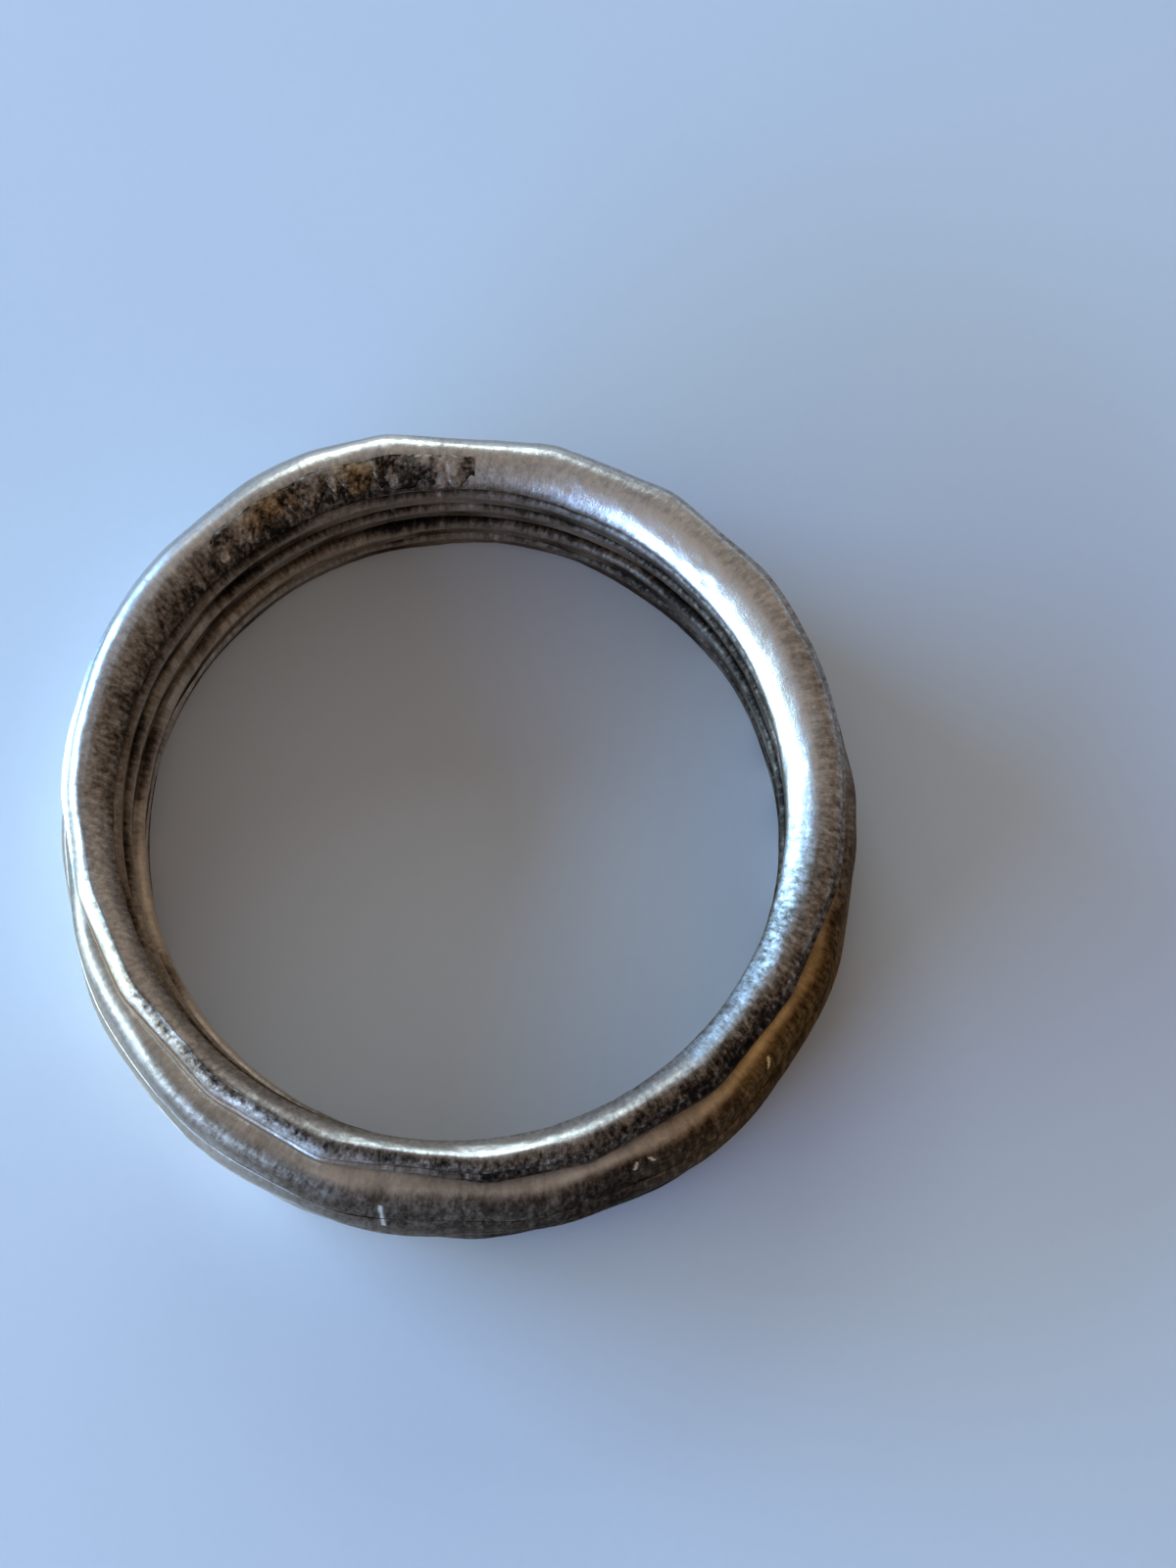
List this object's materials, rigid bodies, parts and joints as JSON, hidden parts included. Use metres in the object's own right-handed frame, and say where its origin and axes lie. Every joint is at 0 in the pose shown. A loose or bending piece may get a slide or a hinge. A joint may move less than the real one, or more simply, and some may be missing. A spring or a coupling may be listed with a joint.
{
  "type": "stacked metal band ring puzzle",
  "caption": "Closed stack of loose, hammered, tarnished silver wire bands round one opening, which lift apart along it.",
  "frame": {"origin": "on the axis of the round opening, where the two lowest bands meet: the middle of its narrow end", "axes": "+Z along the axis of the opening, out of the top band; -Y towards the front, where the lower bands are widest; the solder scar is at the back, +Y"},
  "size_m": [0.0222, 0.0223, 0.0051],
  "materials": {
    "tarnished_silver": "hammered silver, worn bright on its edges, with brown-grey tarnish in the grooves",
    "silver_solder": "silver solder, slightly yellower and duller than the wire",
    "scorched_solder": "rough spare solder with brown fire scale"
  },
  "bodies": {
    "bottom": {"bottom_band": "tarnished_silver", "bottom_band_seam": "silver_solder"},
    "fourth": {"fourth_band": "tarnished_silver", "fourth_band_seam": "silver_solder"},
    "middle": {"middle_band": "tarnished_silver", "middle_band_seam": "silver_solder"},
    "second": {"second_band": "tarnished_silver", "second_band_seam": "silver_solder"},
    "top": {"top_band": "tarnished_silver", "top_band_seam": "silver_solder", "top_band_solder_scar": "scorched_solder"}
  },
  "joints": [
    {"name": "fourth_lift", "type": "slide", "parent": "bottom", "child": "fourth", "axis": [0, 0, 1], "range_m": [0, 0.0055]},
    {"name": "middle_lift", "type": "slide", "parent": "fourth", "child": "middle", "axis": [0, 0, 1], "range_m": [0, 0.0055]},
    {"name": "second_lift", "type": "slide", "parent": "middle", "child": "second", "axis": [0, 0, 1], "range_m": [0, 0.0055]},
    {"name": "top_lift", "type": "slide", "parent": "second", "child": "top", "axis": [0, 0, 1], "range_m": [0, 0.0055]}
  ]
}
